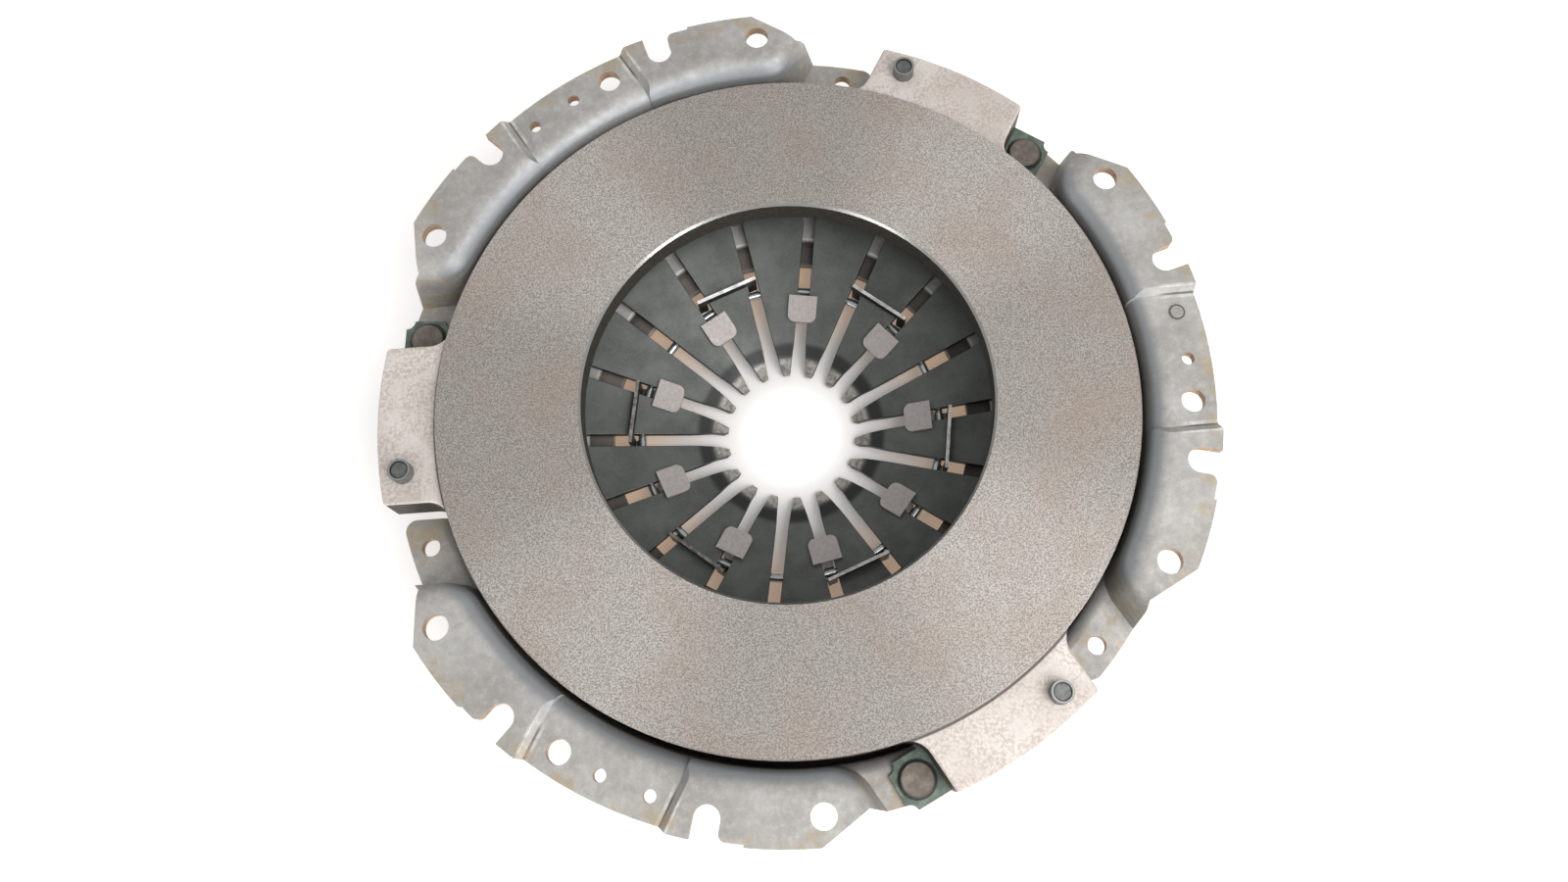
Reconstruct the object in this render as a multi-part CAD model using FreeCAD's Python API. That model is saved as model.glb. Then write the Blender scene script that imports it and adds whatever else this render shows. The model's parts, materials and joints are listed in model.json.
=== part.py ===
import FreeCAD, Part
import math
import os

# Clutch cover assembly with diaphragm spring, for a 240 mm disc.
# Millimetres. The axis of rotation is Z. Z = 0 is the face of the flange that is
# bolted to the flywheel, and +Z points towards the flywheel.
# Three equal sectors repeat every 120 degrees. A sector's middle is at angle 0
# of the sector, and the lug and its window are half way to the next sector.

SECTORS = 3

# Friction face, which sets the size of everything around it
PLATE_R = 120.0
PLATE_BORE_R = 70.5
PLATE_SET_BACK = 3.4

# Cover, pressed from sheet. Its wall stands a gap outside the plate
SHEET = 4.0
COVER_DEPTH = 43.4
WALL_GAP = 2.6
WALL_R = PLATE_R + WALL_GAP
WALL_DRAFT = 2.0
FLANGE_BEND = 8.0
EAR_BEND = 4.8
FLOOR_BEND = 8.0
LIP_DROP = 1.6
LIP_LENGTH = 6.9

# Flange holes, all on one circle outside the wall
BOLT_LINE_OUT = 14.4
BOLT_CIRCLE_R = WALL_R + BOLT_LINE_OUT
BOLT_ANGLE = 30.0
BOLT_HOLE_R = 4.2
DOWEL_ANGLE = -6.25
DOWEL_HOLE_R = 4.0
BALANCE_ANGLES = (0.0, 7.1)
BALANCE_HOLE_R = 2.15
BALANCE_SECTOR = 0
BALANCE_HEAD_OVER = 0.6
BALANCE_HEAD = 0.4
BALANCE_TAIL_OVER = 1.3
BALANCE_TAIL = 1.4

# Flange sectors: the edge lies outside the bolts, and is set in step by step
FLANGE_EDGE = 9.1
FLANGE_R = BOLT_CIRCLE_R + FLANGE_EDGE
FLANGE_STEP = 0.9
FLANGE_NOTCH_R = FLANGE_R - FLANGE_STEP
FLANGE_MID_STEP = 1.3
FLANGE_MID_R = FLANGE_R - FLANGE_MID_STEP
FLANGE_MID_DROP = 2.3
FLANGE_MID_HALF = 23.6
FLANGE_MID_RAMP = 2.4
FLANGE_MID_FADE = 1.0
FLANGE_MID_BLEND = 1.0
FLANGE_END_ANGLE = 29.5
FLANGE_STEP_ANGLE = 20.0
FLANGE_CORNER_CUT = 9.5
FLANGE_CORNER_R = FLANGE_R - FLANGE_CORNER_CUT
FLANGE_CORNER_ANGLE = 36.0
NOTCH_DEPTH = 5.9
NOTCH_R = FLANGE_NOTCH_R - NOTCH_DEPTH
NOTCH_ANGLE = 15.0
NOTCH_RADIUS = 4.4
NOTCH_CORNER = 2.5

# Recessed ears between the flange sectors, and the end walls that reach them
EAR_LENGTH = 16.4
EAR_R = WALL_R + EAR_LENGTH
EAR_END_ANGLE = 38.5
EAR_CORNER = 4.0
END_WALL_OUT = 4.4
END_WALL_R = WALL_R + END_WALL_OUT
END_WALL_ANGLE = 36.4
END_WALL_SKEW = 23.5
END_WALL_DRAFT = 8.0
END_WALL_CORNER = 14.0

# Back of the pressure plate, with the ridge that presses on the spring
PLATE_INNER_THICK = 10.0
PLATE_OUTER_THICK = 15.0
PLATE_CHAMFER = 0.8
PLATE_TRAVEL = 6.0
WINDOW_ROOM = 4.2
RIDGE_IN = 12.0
RIDGE_R = PLATE_R - RIDGE_IN
PLATE_STEP_IN = 24.0
PLATE_STEP_R = RIDGE_R - PLATE_STEP_IN
RIDGE_CREST = 2.6
RIDGE_FOOT = 1.0
RIDGE_GAPS = 9
RIDGE_GAP_WIDTH = 14.0

# Lugs of the pressure plate
LUG_ANGLE = 61.0
LUG_HALF = 27.8
LUG_LENGTH = 20.2
LUG_R = PLATE_R + LUG_LENGTH
LUG_STEP = 3.0
LUG_THICK = 14.5
LUG_CORNER = 1.5
LUG_ROOT = 8.0
LUG_GAP = 2.0
LUG_EDGE = 0.6
LUG_INSIDE = 12.0

# Drive straps and their rivets. A strap runs straight past the plate, and its
# rivets stand at equal distances from its middle, one on the ear and one on the lug
STRAP_LEAVES = 3
STRAP_LEAF = 0.7
STRAP_WIDTH = 16.8
STRAP_END = 7.4
STRAP_NICK = 3.0
STRAP_ANGLE = 65.0
STRAP_LINE_OUT = 9.5
STRAP_LINE_N = PLATE_R + STRAP_LINE_OUT
STRAP_INSET = 1.6
STRAP_RIVET_T = LUG_HALF - STRAP_INSET
STRAP_PIN_T = -STRAP_RIVET_T
EAR_RIVET_R = 3.2
EAR_RIVET_HEAD_R = 5.75
EAR_RIVET_HEAD = 1.8
EAR_RIVET_TAIL_R = 5.0
EAR_RIVET_TAIL = 2.4
EAR_HOLE_ANGLE = 43.5
EAR_HOLE_R = 3.15
LUG_PIN_R = 3.75
LUG_PIN_RISE = 4.8
LUG_PIN_DISH_R = 2.8
LUG_PIN_DISH = 0.5
LUG_PIN_FOOT_R = 5.75
LUG_PIN_FOOT = 2.2
RIVET_FIT = 0.05

# Diaphragm spring. It rocks at the pivot, and its rim lies behind the ridge
PIVOT_ARM = 17.0
PIVOT_R = RIDGE_R - PIVOT_ARM
SPRING_SHEET = 2.7
SPRING_RIM = 4.0
SPRING_R = RIDGE_R + SPRING_RIM
SPRING_SLOPE = 0.31
TIP_R = 23.8
TIP_DROP = 4.4
TIP_LENGTH = 4.5
TIP_BEND_R = TIP_R + TIP_LENGTH
PIVOT_RISE = 10.94
TIP_BEND_RADIUS = 4.0
FINGERS = 18
SLOT_WIDTH = 4.5
SLOT_FLARE = 7.7
SLOT_FLARE_R = TIP_BEND_R + SLOT_FLARE
SLOT_TIP_WIDTH = 5.9
SLOT_HOLE_IN = 5.5
SLOT_HOLE_R = PIVOT_R - SLOT_HOLE_IN
SLOT_HOLE_RADIUS = 4.0

# Spring pivot: support ring behind, wire ring in front, rivets through the slots
PIVOT_GAP = 0.25
WIRE_RADIUS = 1.75
BEAD_RADIUS = 2.5
SUPPORT_THICK = 2.2
SUPPORT_IN = 17.0
SUPPORT_IN_R = PIVOT_R - SUPPORT_IN
SUPPORT_OUT = 5.5
SUPPORT_OUT_R = PIVOT_R + SUPPORT_OUT
SUPPORT_CHAMFER = 0.7
SUPPORT_LEDGE = 1.5
LIP_R = SUPPORT_IN_R - SUPPORT_LEDGE
OPENING_R = LIP_R - LIP_LENGTH
PIVOT_RIVETS = 9
PIVOT_RIVET_R = 3.0
PIVOT_HEAD_R = 7.6
PIVOT_HEAD = 2.0
PIVOT_TAIL_R = 5.2
PIVOT_TAIL = 2.0

# Wire ring held against the back of the fingers
RING_CLEAR = 8.6
RING_OUT_R = OPENING_R - RING_CLEAR
RING_WIRE = 3.2
RING_IN_R = RING_OUT_R - RING_WIRE
RING_R = RING_OUT_R - RING_WIRE / 2
RING_GAP = 0.3
TABS = 9
TAB_IN = 2.0
TAB_OUT_R = RING_IN_R - TAB_IN
TAB_LENGTH = 9.6
TAB_IN_R = TAB_OUT_R - TAB_LENGTH
TAB_WIDTH = 10.7
TAB_THICK = 1.3
TAB_CORNER = 2.6
TAB_NECK_WIDTH = 3.6
TAB_NECK_LENGTH = 4.3
TAB_NECK_IN_R = TAB_OUT_R - TAB_NECK_LENGTH
TAB_NECK_LEAN = 1.0
CLIPS = 6
CLIP_STRIP = 1.2
CLIP_HEIGHT = 3.4
CLIP_LEG_WIDTH = 3.4
CLIP_HOOK = 1.2
CLIP_FIRST_ANGLE = -10.0

# Values worked out from the sizes above
FAR = 400.0
BLOCK_R = FAR / 2
CUT_OVER = 1.0
NEAR = 0.05
TINY = 1e-6
JOIN_TOLERANCE = 0.001
STEP = 360.0 / SECTORS
FLOOR_Z = -COVER_DEPTH
COVER_BACK_Z = FLOOR_Z - SHEET
PLATE_FACE_Z = -PLATE_SET_BACK
PLATE_BACK_Z = PLATE_FACE_Z - PLATE_OUTER_THICK
LUG_TOP_Z = PLATE_FACE_Z - LUG_STEP
LUG_BACK_Z = LUG_TOP_Z - LUG_THICK
STRAP_BACK_Z = LUG_BACK_Z - STRAP_LEAVES * STRAP_LEAF
EAR_Z = STRAP_BACK_Z
TIP_BEND_Z = FLOOR_Z + PIVOT_RISE - SPRING_SLOPE * (PIVOT_R - TIP_BEND_R)
SPRING_ANGLE = math.atan(SPRING_SLOPE)
PITCH = 360.0 / FINGERS


def pt(x, z):
    """A point of a section, in the plane through the axis."""
    return FreeCAD.Vector(x, 0.0, z)


def at(radius, angle, z=0.0):
    """A point at a radius and an angle in degrees."""
    turn = math.radians(angle)
    return FreeCAD.Vector(radius * math.cos(turn), radius * math.sin(turn), z)


def turned(shape, angle):
    """A copy of the shape, turned about the axis."""
    copy = shape.copy()
    copy.rotate(FreeCAD.Vector(0, 0, 0), FreeCAD.Vector(0, 0, 1), angle)
    return copy


def rounded_edges(points, radii):
    """Lines through the points, with an arc of its radius at each inner corner."""
    edges = []
    start = points[0]
    for before, corner, after, radius in zip(points, points[1:], points[2:], radii):
        back = (before - corner).normalize()
        ahead = (after - corner).normalize()
        turn = math.pi - back.getAngle(ahead)
        if radius <= 0 or turn < TINY:
            edges.append(Part.LineSegment(start, corner).toShape())
            start = corner
            continue
        reach = radius * math.tan(turn / 2)
        middle = (back + ahead).normalize() * (radius / math.cos(turn / 2) - radius)
        first = corner + back * reach
        last = corner + ahead * reach
        if start.distanceToPoint(first) > TINY:
            edges.append(Part.LineSegment(start, first).toShape())
        edges.append(Part.Arc(first, corner + middle, last).toShape())
        start = last
    edges.append(Part.LineSegment(start, points[-1]).toShape())
    return edges


def face_of(edges):
    """A flat face inside a closed chain of edges."""
    return Part.Face(Part.Wire(Part.__sortEdges__(edges)))


def rounded_face(points, radii=None):
    """A closed outline of corners, with a radius for every corner but the first."""
    ring = list(points) + [points[0]]
    return face_of(rounded_edges(ring, radii or [0] * (len(points) - 1)))


def shifted_path(points, distance):
    """The path moved sideways by a distance, to its left in the section plane."""
    lines = []
    for first, last in zip(points, points[1:]):
        way = (last - first).normalize()
        side = FreeCAD.Vector(-way.z, 0, way.x) * distance
        lines.append((first + side, way))
    moved = [lines[0][0]]
    for (base, way), (other, other_way) in zip(lines, lines[1:]):
        gap = other - base
        cross = way.x * other_way.z - way.z * other_way.x
        along = (gap.x * other_way.z - gap.z * other_way.x) / cross
        moved.append(base + way * along)
    last_base, last_way = lines[-1]
    moved.append(last_base + last_way * (points[-1] - points[-2]).Length)
    return moved


def spun(face, angle=360.0):
    """The solid that a section sweeps about the axis."""
    return face.revolve(FreeCAD.Vector(0, 0, 0), FreeCAD.Vector(0, 0, 1), angle)


def cylinder(radius, low, high, centre):
    """An upright cylinder between two heights."""
    base = FreeCAD.Vector(centre.x, centre.y, low)
    return Part.makeCylinder(radius, high - low, base)


def upright(face, low, high):
    """A plan face drawn at Z = 0, made into a solid between two heights."""
    copy = face.copy()
    copy.translate(FreeCAD.Vector(0, 0, low))
    return copy.extrude(FreeCAD.Vector(0, 0, high - low))


def joined(solids):
    """One solid from pieces that touch."""
    return solids[0].multiFuse(solids[1:]).removeSplitter()


def wall_radius(z):
    """Radius of the cover's wall, on its inner side, at a height."""
    return WALL_R + z * math.tan(math.radians(WALL_DRAFT))


def edges_near(shape, test):
    """Edges whose middle point passes the test."""
    found = []
    for edge in shape.Edges:
        middle = edge.valueAt((edge.FirstParameter + edge.LastParameter) / 2)
        if test(middle, edge):
            found.append(edge)
    return found


# Cover

def pan_path():
    """The cover's front surface from its opening to an ear, and its bend radii."""
    points = [
        pt(OPENING_R, FLOOR_Z - LIP_DROP),
        pt(LIP_R, FLOOR_Z),
        pt(wall_radius(FLOOR_Z), FLOOR_Z),
        pt(wall_radius(EAR_Z), EAR_Z),
        pt(FAR, EAR_Z),
    ]
    return points, [FLOOR_BEND, FLOOR_BEND, EAR_BEND]


def pan_under(thickness):
    """Everything behind the pan's surface, moved back by a thickness."""
    points, radii = pan_path()
    signs = [-1, 1, -1]
    if thickness:
        points = shifted_path(points, -thickness)
        points[0] = points[0] + (points[0] - points[1])
    bends = [radius + sign * thickness for radius, sign in zip(radii, signs)]
    low = -FAR
    edges = rounded_edges(points, bends)
    corners = [points[-1], pt(points[-1].x, low), pt(points[0].x, low), points[0]]
    edges += [Part.LineSegment(a, b).toShape() for a, b in zip(corners, corners[1:])]
    return spun(face_of(edges))


def end_wall_cutter(side, thickness):
    """A block beyond a sector's end wall, whose face is the wall's front surface."""
    foot = at(END_WALL_R, side * END_WALL_ANGLE, EAR_Z)
    block = Part.makeBox(FAR, FAR, FAR, FreeCAD.Vector(-FAR / 2, 0, -FAR / 2))
    block.rotate(FreeCAD.Vector(0, 0, 0), FreeCAD.Vector(1, 0, 0), END_WALL_DRAFT)
    block.translate(FreeCAD.Vector(0, -thickness / math.cos(math.radians(END_WALL_DRAFT)), 0))
    if side < 0:
        block = block.mirror(FreeCAD.Vector(0, 0, 0), FreeCAD.Vector(0, 1, 0))
    block.rotate(FreeCAD.Vector(0, 0, 0), FreeCAD.Vector(0, 0, 1),
                 side * (END_WALL_ANGLE + END_WALL_SKEW))
    block.translate(foot)
    return block


def raised_block(thickness, top):
    """A flange sector as a solid block, its inner edges rounded as pressed."""
    low = EAR_Z - EAR_BEND - SHEET
    inset = thickness / math.cos(math.radians(WALL_DRAFT))
    section = rounded_face([
        pt(wall_radius(top) + inset, top),
        pt(BLOCK_R, top),
        pt(BLOCK_R, low),
        pt(wall_radius(low) + inset, low),
    ])
    block = turned(spun(section, 120.0), -60.0)
    block = block.cut(end_wall_cutter(1, thickness))
    block = block.cut(end_wall_cutter(-1, thickness))
    upright_edges = edges_near(block, lambda m, e: is_corner(m, e, low, top))
    block = block.makeFillet(END_WALL_CORNER - thickness, upright_edges)
    rim = edges_near(block, lambda m, e: is_rim(m, e, top))
    return block.makeFillet(FLANGE_BEND - thickness, rim)


def is_corner(middle, edge, low, top):
    """An upright edge between the wall and an end wall."""
    radius = math.hypot(middle.x, middle.y)
    rise = abs(edge.Vertexes[0].Z - edge.Vertexes[-1].Z)
    return radius < BLOCK_R - CUT_OVER and rise > (top - low) / 2


def is_rim(middle, edge, top):
    """A top edge of the raised block, apart from its far outer one."""
    radius = math.hypot(middle.x, middle.y)
    level = all(abs(v.Z - top) < NEAR for v in edge.Vertexes)
    return level and abs(middle.z - top) < NEAR and radius < BLOCK_R - CUT_OVER


def mid_wedge(thickness):
    """What the high block loses to the lowered middle, down past the rounding of its edge."""
    path = [
        pt(0, -FLANGE_MID_DROP),
        pt(FLANGE_MID_HALF, -FLANGE_MID_DROP),
        pt(FLANGE_MID_HALF + FLANGE_MID_RAMP, 0),
        pt(FAR / 4, 0),
    ]
    if thickness:
        path = shifted_path(path, -thickness)
    ramp = (path[2] - path[1]).normalize() * FAR / 4
    side = [path[1] - pt(FLANGE_MID_FADE, FLANGE_BEND), path[1], path[1] + ramp]
    outline = [FreeCAD.Vector(0, p.x, p.z) for p in side]
    outline += [FreeCAD.Vector(0, -p.x, p.z) for p in reversed(side)]
    wedge = Part.Face(Part.makePolygon(outline + outline[:1]))
    return wedge.extrude(FreeCAD.Vector(BLOCK_R, 0, 0))


def flange_block(thickness):
    """A flange sector's block with its lowered middle."""
    high = raised_block(thickness, -thickness).cut(mid_wedge(thickness))
    middle = raised_block(thickness, -thickness - FLANGE_MID_DROP)
    return high.fuse(middle)


def flange_outline():
    """Plan of the whole cover's outer edge."""
    edges = []
    for sector in range(SECTORS):
        base = sector * STEP
        stations = sector_stations()
        for (r0, a0, way), (r1, a1, _) in zip(stations, stations[1:]):
            first = at(r0, base + a0)
            last = at(r1, base + a1)
            if way == "arc":
                edges.append(Part.Arc(first, at(r0, base + (a0 + a1) / 2), last).toShape())
            else:
                edges.append(Part.LineSegment(first, last).toShape())
    return face_of(edges)


def sector_stations():
    """Radius and angle of each corner of a sector's edge, and the way to the next."""
    mid = math.degrees(math.asin(FLANGE_MID_HALF / FLANGE_MID_R))
    half = [
        (EAR_R, STEP / 2, "arc"),
        (EAR_R, EAR_END_ANGLE, "line"),
        (FLANGE_CORNER_R, FLANGE_CORNER_ANGLE, "line"),
        (FLANGE_R, FLANGE_END_ANGLE, "arc"),
        (FLANGE_R, FLANGE_STEP_ANGLE, "line"),
        (FLANGE_NOTCH_R, FLANGE_STEP_ANGLE, "arc"),
        (FLANGE_NOTCH_R, NOTCH_ANGLE, "line"),
        (FLANGE_R, NOTCH_ANGLE, "arc"),
        (FLANGE_R, mid + FLANGE_MID_BLEND, "line"),
        (FLANGE_MID_R, mid, "arc"),
    ]
    first = [(radius, -angle, way) for radius, angle, way in half]
    ways = [way for _, _, way in half]
    second = []
    for index in range(len(half) - 1, -1, -1):
        radius, angle, _ = half[index]
        way = ways[index - 1] if index else "arc"
        second.append((radius, angle, way))
    return first + second


def notch():
    """A notch in the flange edge, open outwards, at angle 0."""
    left = FreeCAD.Vector(0, NOTCH_RADIUS, 0)
    right = FreeCAD.Vector(0, -NOTCH_RADIUS, 0)
    out = FreeCAD.Vector(FAR / 16, 0, 0)
    corners = [right, right + out, left + out, left]
    edges = [Part.LineSegment(a, b).toShape() for a, b in zip(corners, corners[1:])]
    edges.append(Part.Arc(left, FreeCAD.Vector(-NOTCH_RADIUS, 0, 0), right).toShape())
    face = face_of(edges)
    face.translate(FreeCAD.Vector(NOTCH_R, 0, 0))
    return upright(face, -FAR / 8, FAR / 8)


def window():
    """The opening that a lug reaches out through, with room beside the lug."""
    half = LUG_HALF + LUG_GAP
    low = STRAP_BACK_Z - LUG_PIN_FOOT - PLATE_TRAVEL - WINDOW_ROOM
    corner = FreeCAD.Vector(PLATE_STEP_R, -half, low)
    return turned(Part.makeBox(FAR, 2 * half, FAR, corner), -LUG_ANGLE)


def strap_point(along, z=0.0):
    """A point of the strap's line, by its distance from the strap's middle."""
    point = FreeCAD.Vector(STRAP_LINE_N, -along, z)
    return turned(Part.Vertex(point), -STRAP_ANGLE).Point


def sector_holes():
    """All holes of one sector, flange and ears."""
    holes = []
    for angle in (-BOLT_ANGLE, BOLT_ANGLE):
        holes.append((BOLT_HOLE_R, at(BOLT_CIRCLE_R, angle)))
    holes.append((DOWEL_HOLE_R, at(BOLT_CIRCLE_R, DOWEL_ANGLE)))
    for angle in BALANCE_ANGLES:
        holes.append((BALANCE_HOLE_R, at(BOLT_CIRCLE_R, angle)))
    holes.append((EAR_HOLE_R, at(strap_point(STRAP_RIVET_T).Length, -EAR_HOLE_ANGLE)))
    holes.append((EAR_RIVET_R + RIVET_FIT, strap_point(STRAP_RIVET_T)))
    return [cylinder(radius, -FAR / 8, FAR / 8, centre) for radius, centre in holes]


def is_ear_end(middle, edge):
    """An upright outer corner of an ear, beside a window."""
    if abs(math.hypot(middle.x, middle.y) - EAR_R) > NEAR:
        return False
    turns = [LUG_ANGLE - index * STEP for index in range(SECTORS)]
    sides = [turned(Part.Vertex(middle), turn).Point.y for turn in turns]
    return any(abs(abs(side) - LUG_HALF - LUG_GAP) < NEAR for side in sides)


def is_notch_corner(middle, edge):
    """The outer corner of a notch, on the side away from the sector's middle."""
    around = (math.degrees(math.atan2(middle.y, middle.x)) + STEP / 2) % STEP - STEP / 2
    width = math.degrees(math.asin(NOTCH_RADIUS / FLANGE_NOTCH_R))
    outside = math.hypot(middle.x, middle.y) > FLANGE_NOTCH_R - NEAR
    return outside and abs(abs(around) - NOTCH_ANGLE - width) < NEAR


def cover():
    """The pressed cover: a pan with three raised flange sectors and three ears."""
    front = pan_under(0.0)
    back = pan_under(SHEET)
    front_block = flange_block(0.0)
    back_block = flange_block(SHEET)
    angles = [sector * STEP for sector in range(SECTORS)]
    front = front.multiFuse([turned(front_block, angle) for angle in angles], JOIN_TOLERANCE)
    back = back.multiFuse([turned(back_block, angle) for angle in angles], JOIN_TOLERANCE)
    shell = front.cut(back).common(upright(flange_outline(), -FAR / 4, FAR / 8))
    cutters = []
    for angle in angles:
        cutters += [turned(hole, angle) for hole in sector_holes()]
        cutters.append(turned(window(), angle))
        cutters += [turned(notch(), angle + side * NOTCH_ANGLE) for side in (-1, 1)]
    cutters += pivot_holes()
    shell = shell.cut(cutters)
    shell = shell.makeFillet(EAR_CORNER, edges_near(shell, is_ear_end))
    return shell.makeFillet(NOTCH_CORNER, edges_near(shell, is_notch_corner))


def balance_rivet():
    """A small rivet that fills one of the balance holes, nearly flush."""
    centre = at(BOLT_CIRCLE_R, BALANCE_ANGLES[1] + BALANCE_SECTOR * STEP)
    top = -FLANGE_MID_DROP
    back = top - SHEET
    return joined([
        cylinder(BALANCE_HOLE_R + BALANCE_HEAD_OVER, top, top + BALANCE_HEAD, centre),
        cylinder(BALANCE_HOLE_R - RIVET_FIT, back, top, centre),
        cylinder(BALANCE_HOLE_R + BALANCE_TAIL_OVER, back - BALANCE_TAIL, back, centre),
    ])


# Pressure plate

def spring_top(radius):
    """Height of the spring's front surface at a radius outside the tip bend."""
    return TIP_BEND_Z + SPRING_SLOPE * (radius - TIP_BEND_R)


def spring_middle(radius):
    """Height of the middle of the spring's sheet."""
    return spring_top(radius) - SPRING_SHEET / 2 / math.cos(SPRING_ANGLE)


def ridge_centre():
    """Centre height of the round crest that presses on the spring."""
    return spring_top(RIDGE_R) + (RIDGE_CREST + PIVOT_GAP) / math.cos(SPRING_ANGLE)


def plate_ring():
    """The ring with its friction face, thinner at the bore."""
    inner_back = PLATE_FACE_Z - PLATE_INNER_THICK
    slant = PLATE_OUTER_THICK - PLATE_INNER_THICK
    return spun(rounded_face([
        pt(PLATE_BORE_R, PLATE_FACE_Z - PLATE_CHAMFER),
        pt(PLATE_BORE_R + PLATE_CHAMFER, PLATE_FACE_Z),
        pt(PLATE_R - PLATE_CHAMFER / 2, PLATE_FACE_Z),
        pt(PLATE_R, PLATE_FACE_Z - PLATE_CHAMFER / 2),
        pt(PLATE_R, PLATE_BACK_Z),
        pt(PLATE_STEP_R + slant, PLATE_BACK_Z),
        pt(PLATE_STEP_R, inner_back),
        pt(PLATE_BORE_R, inner_back),
    ]))


def plate_ridge():
    """The ridge on the plate's back, parted by cooling gaps."""
    centre = ridge_centre()
    foot = RIDGE_CREST + RIDGE_FOOT
    left = pt(RIDGE_R - RIDGE_CREST, centre)
    right = pt(RIDGE_R + RIDGE_CREST, centre)
    corners = [right, pt(RIDGE_R + foot, PLATE_BACK_Z), pt(RIDGE_R - foot, PLATE_BACK_Z), left]
    edges = [Part.LineSegment(a, b).toShape() for a, b in zip(corners, corners[1:])]
    edges.append(Part.Arc(left, pt(RIDGE_R, centre - RIDGE_CREST), right).toShape())
    ring = spun(face_of(edges))
    low = centre - 2 * RIDGE_CREST
    across = foot + CUT_OVER
    corner = FreeCAD.Vector(RIDGE_R - across, -RIDGE_GAP_WIDTH / 2, low)
    gap = Part.makeBox(2 * across, RIDGE_GAP_WIDTH, PLATE_BACK_Z - low, corner)
    turn = 360.0 / RIDGE_GAPS
    return ring.cut([turned(gap, (index + 0.5) * turn) for index in range(RIDGE_GAPS)])


def lug_outline():
    """Plan of a lug about angle 0, with round corners and hollow roots."""
    corner_x = LUG_HALF - LUG_CORNER
    corner_y = math.sqrt((LUG_R - LUG_CORNER) ** 2 - corner_x ** 2)
    root_x = LUG_HALF + LUG_ROOT
    root_y = math.sqrt((PLATE_R + LUG_ROOT) ** 2 - root_x ** 2)
    corner = FreeCAD.Vector(corner_y, corner_x, 0)
    root = FreeCAD.Vector(root_y, root_x, 0)
    tip = corner * (LUG_R / (LUG_R - LUG_CORNER))
    bend = corner + ((tip - corner).normalize() + FreeCAD.Vector(0, 1, 0)).normalize() * LUG_CORNER
    heel = root * (PLATE_R / (PLATE_R + LUG_ROOT))
    hollow = root + ((heel - root).normalize() + FreeCAD.Vector(0, -1, 0)).normalize() * LUG_ROOT
    inside = FreeCAD.Vector(PLATE_R - LUG_INSIDE, heel.y, 0)
    side = [heel, hollow, FreeCAD.Vector(root_y, LUG_HALF, 0),
            FreeCAD.Vector(corner_y, LUG_HALF, 0), bend, tip]
    other = [FreeCAD.Vector(p.x, -p.y, 0) for p in side]
    edges = []
    for line in (side, other):
        edges.append(Part.Arc(line[0], line[1], line[2]).toShape())
        edges.append(Part.LineSegment(line[2], line[3]).toShape())
        edges.append(Part.Arc(line[3], line[4], line[5]).toShape())
    edges.append(Part.Arc(tip, FreeCAD.Vector(LUG_R, 0, 0), other[5]).toShape())
    back = [heel, inside, FreeCAD.Vector(inside.x, -inside.y, 0), other[0]]
    edges += [Part.LineSegment(a, b).toShape() for a, b in zip(back, back[1:])]
    return face_of(edges)


def lug(index):
    """A lug with its rivet hole, in its place."""
    solid = upright(lug_outline(), LUG_BACK_Z, LUG_TOP_Z)
    rim = edges_near(solid, lambda m, e: abs(m.z - LUG_TOP_Z) < NEAR
                     and math.hypot(m.x, m.y) > PLATE_R + LUG_ROOT / 2)
    solid = solid.makeChamfer(LUG_EDGE, rim)
    return turned(solid, index * STEP - LUG_ANGLE)


def pressure_plate():
    """The cast ring with its ridge and its three lugs, as one solid."""
    solids = [plate_ring(), plate_ridge()]
    solids += [lug(index) for index in range(SECTORS)]
    plate = joined(solids)
    holes = []
    for index in range(SECTORS):
        hole = cylinder(LUG_PIN_R + RIVET_FIT, LUG_BACK_Z - CUT_OVER, LUG_TOP_Z + CUT_OVER,
                        strap_point(STRAP_PIN_T))
        holes.append(turned(hole, index * STEP))
    return plate.cut(holes)


def lug_rivets():
    """Rivets that hold the straps to the lugs, with a hollow pin end in front."""
    centre = strap_point(STRAP_PIN_T)
    top = LUG_TOP_Z + LUG_PIN_RISE
    solid = joined([
        cylinder(LUG_PIN_R, STRAP_BACK_Z, top, centre),
        cylinder(LUG_PIN_FOOT_R, STRAP_BACK_Z - LUG_PIN_FOOT, STRAP_BACK_Z, centre),
    ])
    solid = solid.cut(cylinder(LUG_PIN_DISH_R, top - LUG_PIN_DISH, top + CUT_OVER, centre))
    return Part.makeCompound([turned(solid, index * STEP) for index in range(SECTORS)])


# Drive straps

def strap_outline():
    """Plan of a strap leaf, with a hollow nick at each corner."""
    half = STRAP_WIDTH / 2
    end = STRAP_RIVET_T + STRAP_END
    middle = FreeCAD.Vector(STRAP_LINE_N, 0, 0)
    nick = STRAP_NICK
    hollow = nick * math.sqrt(0.5)
    edges = []
    last = middle + FreeCAD.Vector(-half, -end + nick, 0)
    for x, y in ((-1, 1), (1, 1), (1, -1), (-1, -1)):
        corner = middle + FreeCAD.Vector(x * half, y * end, 0)
        along = FreeCAD.Vector(-x * nick, 0, 0)
        back = FreeCAD.Vector(0, -y * nick, 0)
        first, second = (back, along) if x * y < 0 else (along, back)
        inner = corner + FreeCAD.Vector(-x * hollow, -y * hollow, 0)
        edges.append(Part.LineSegment(last, corner + first).toShape())
        edges.append(Part.Arc(corner + first, inner, corner + second).toShape())
        last = corner + second
    return face_of(edges)


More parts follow.
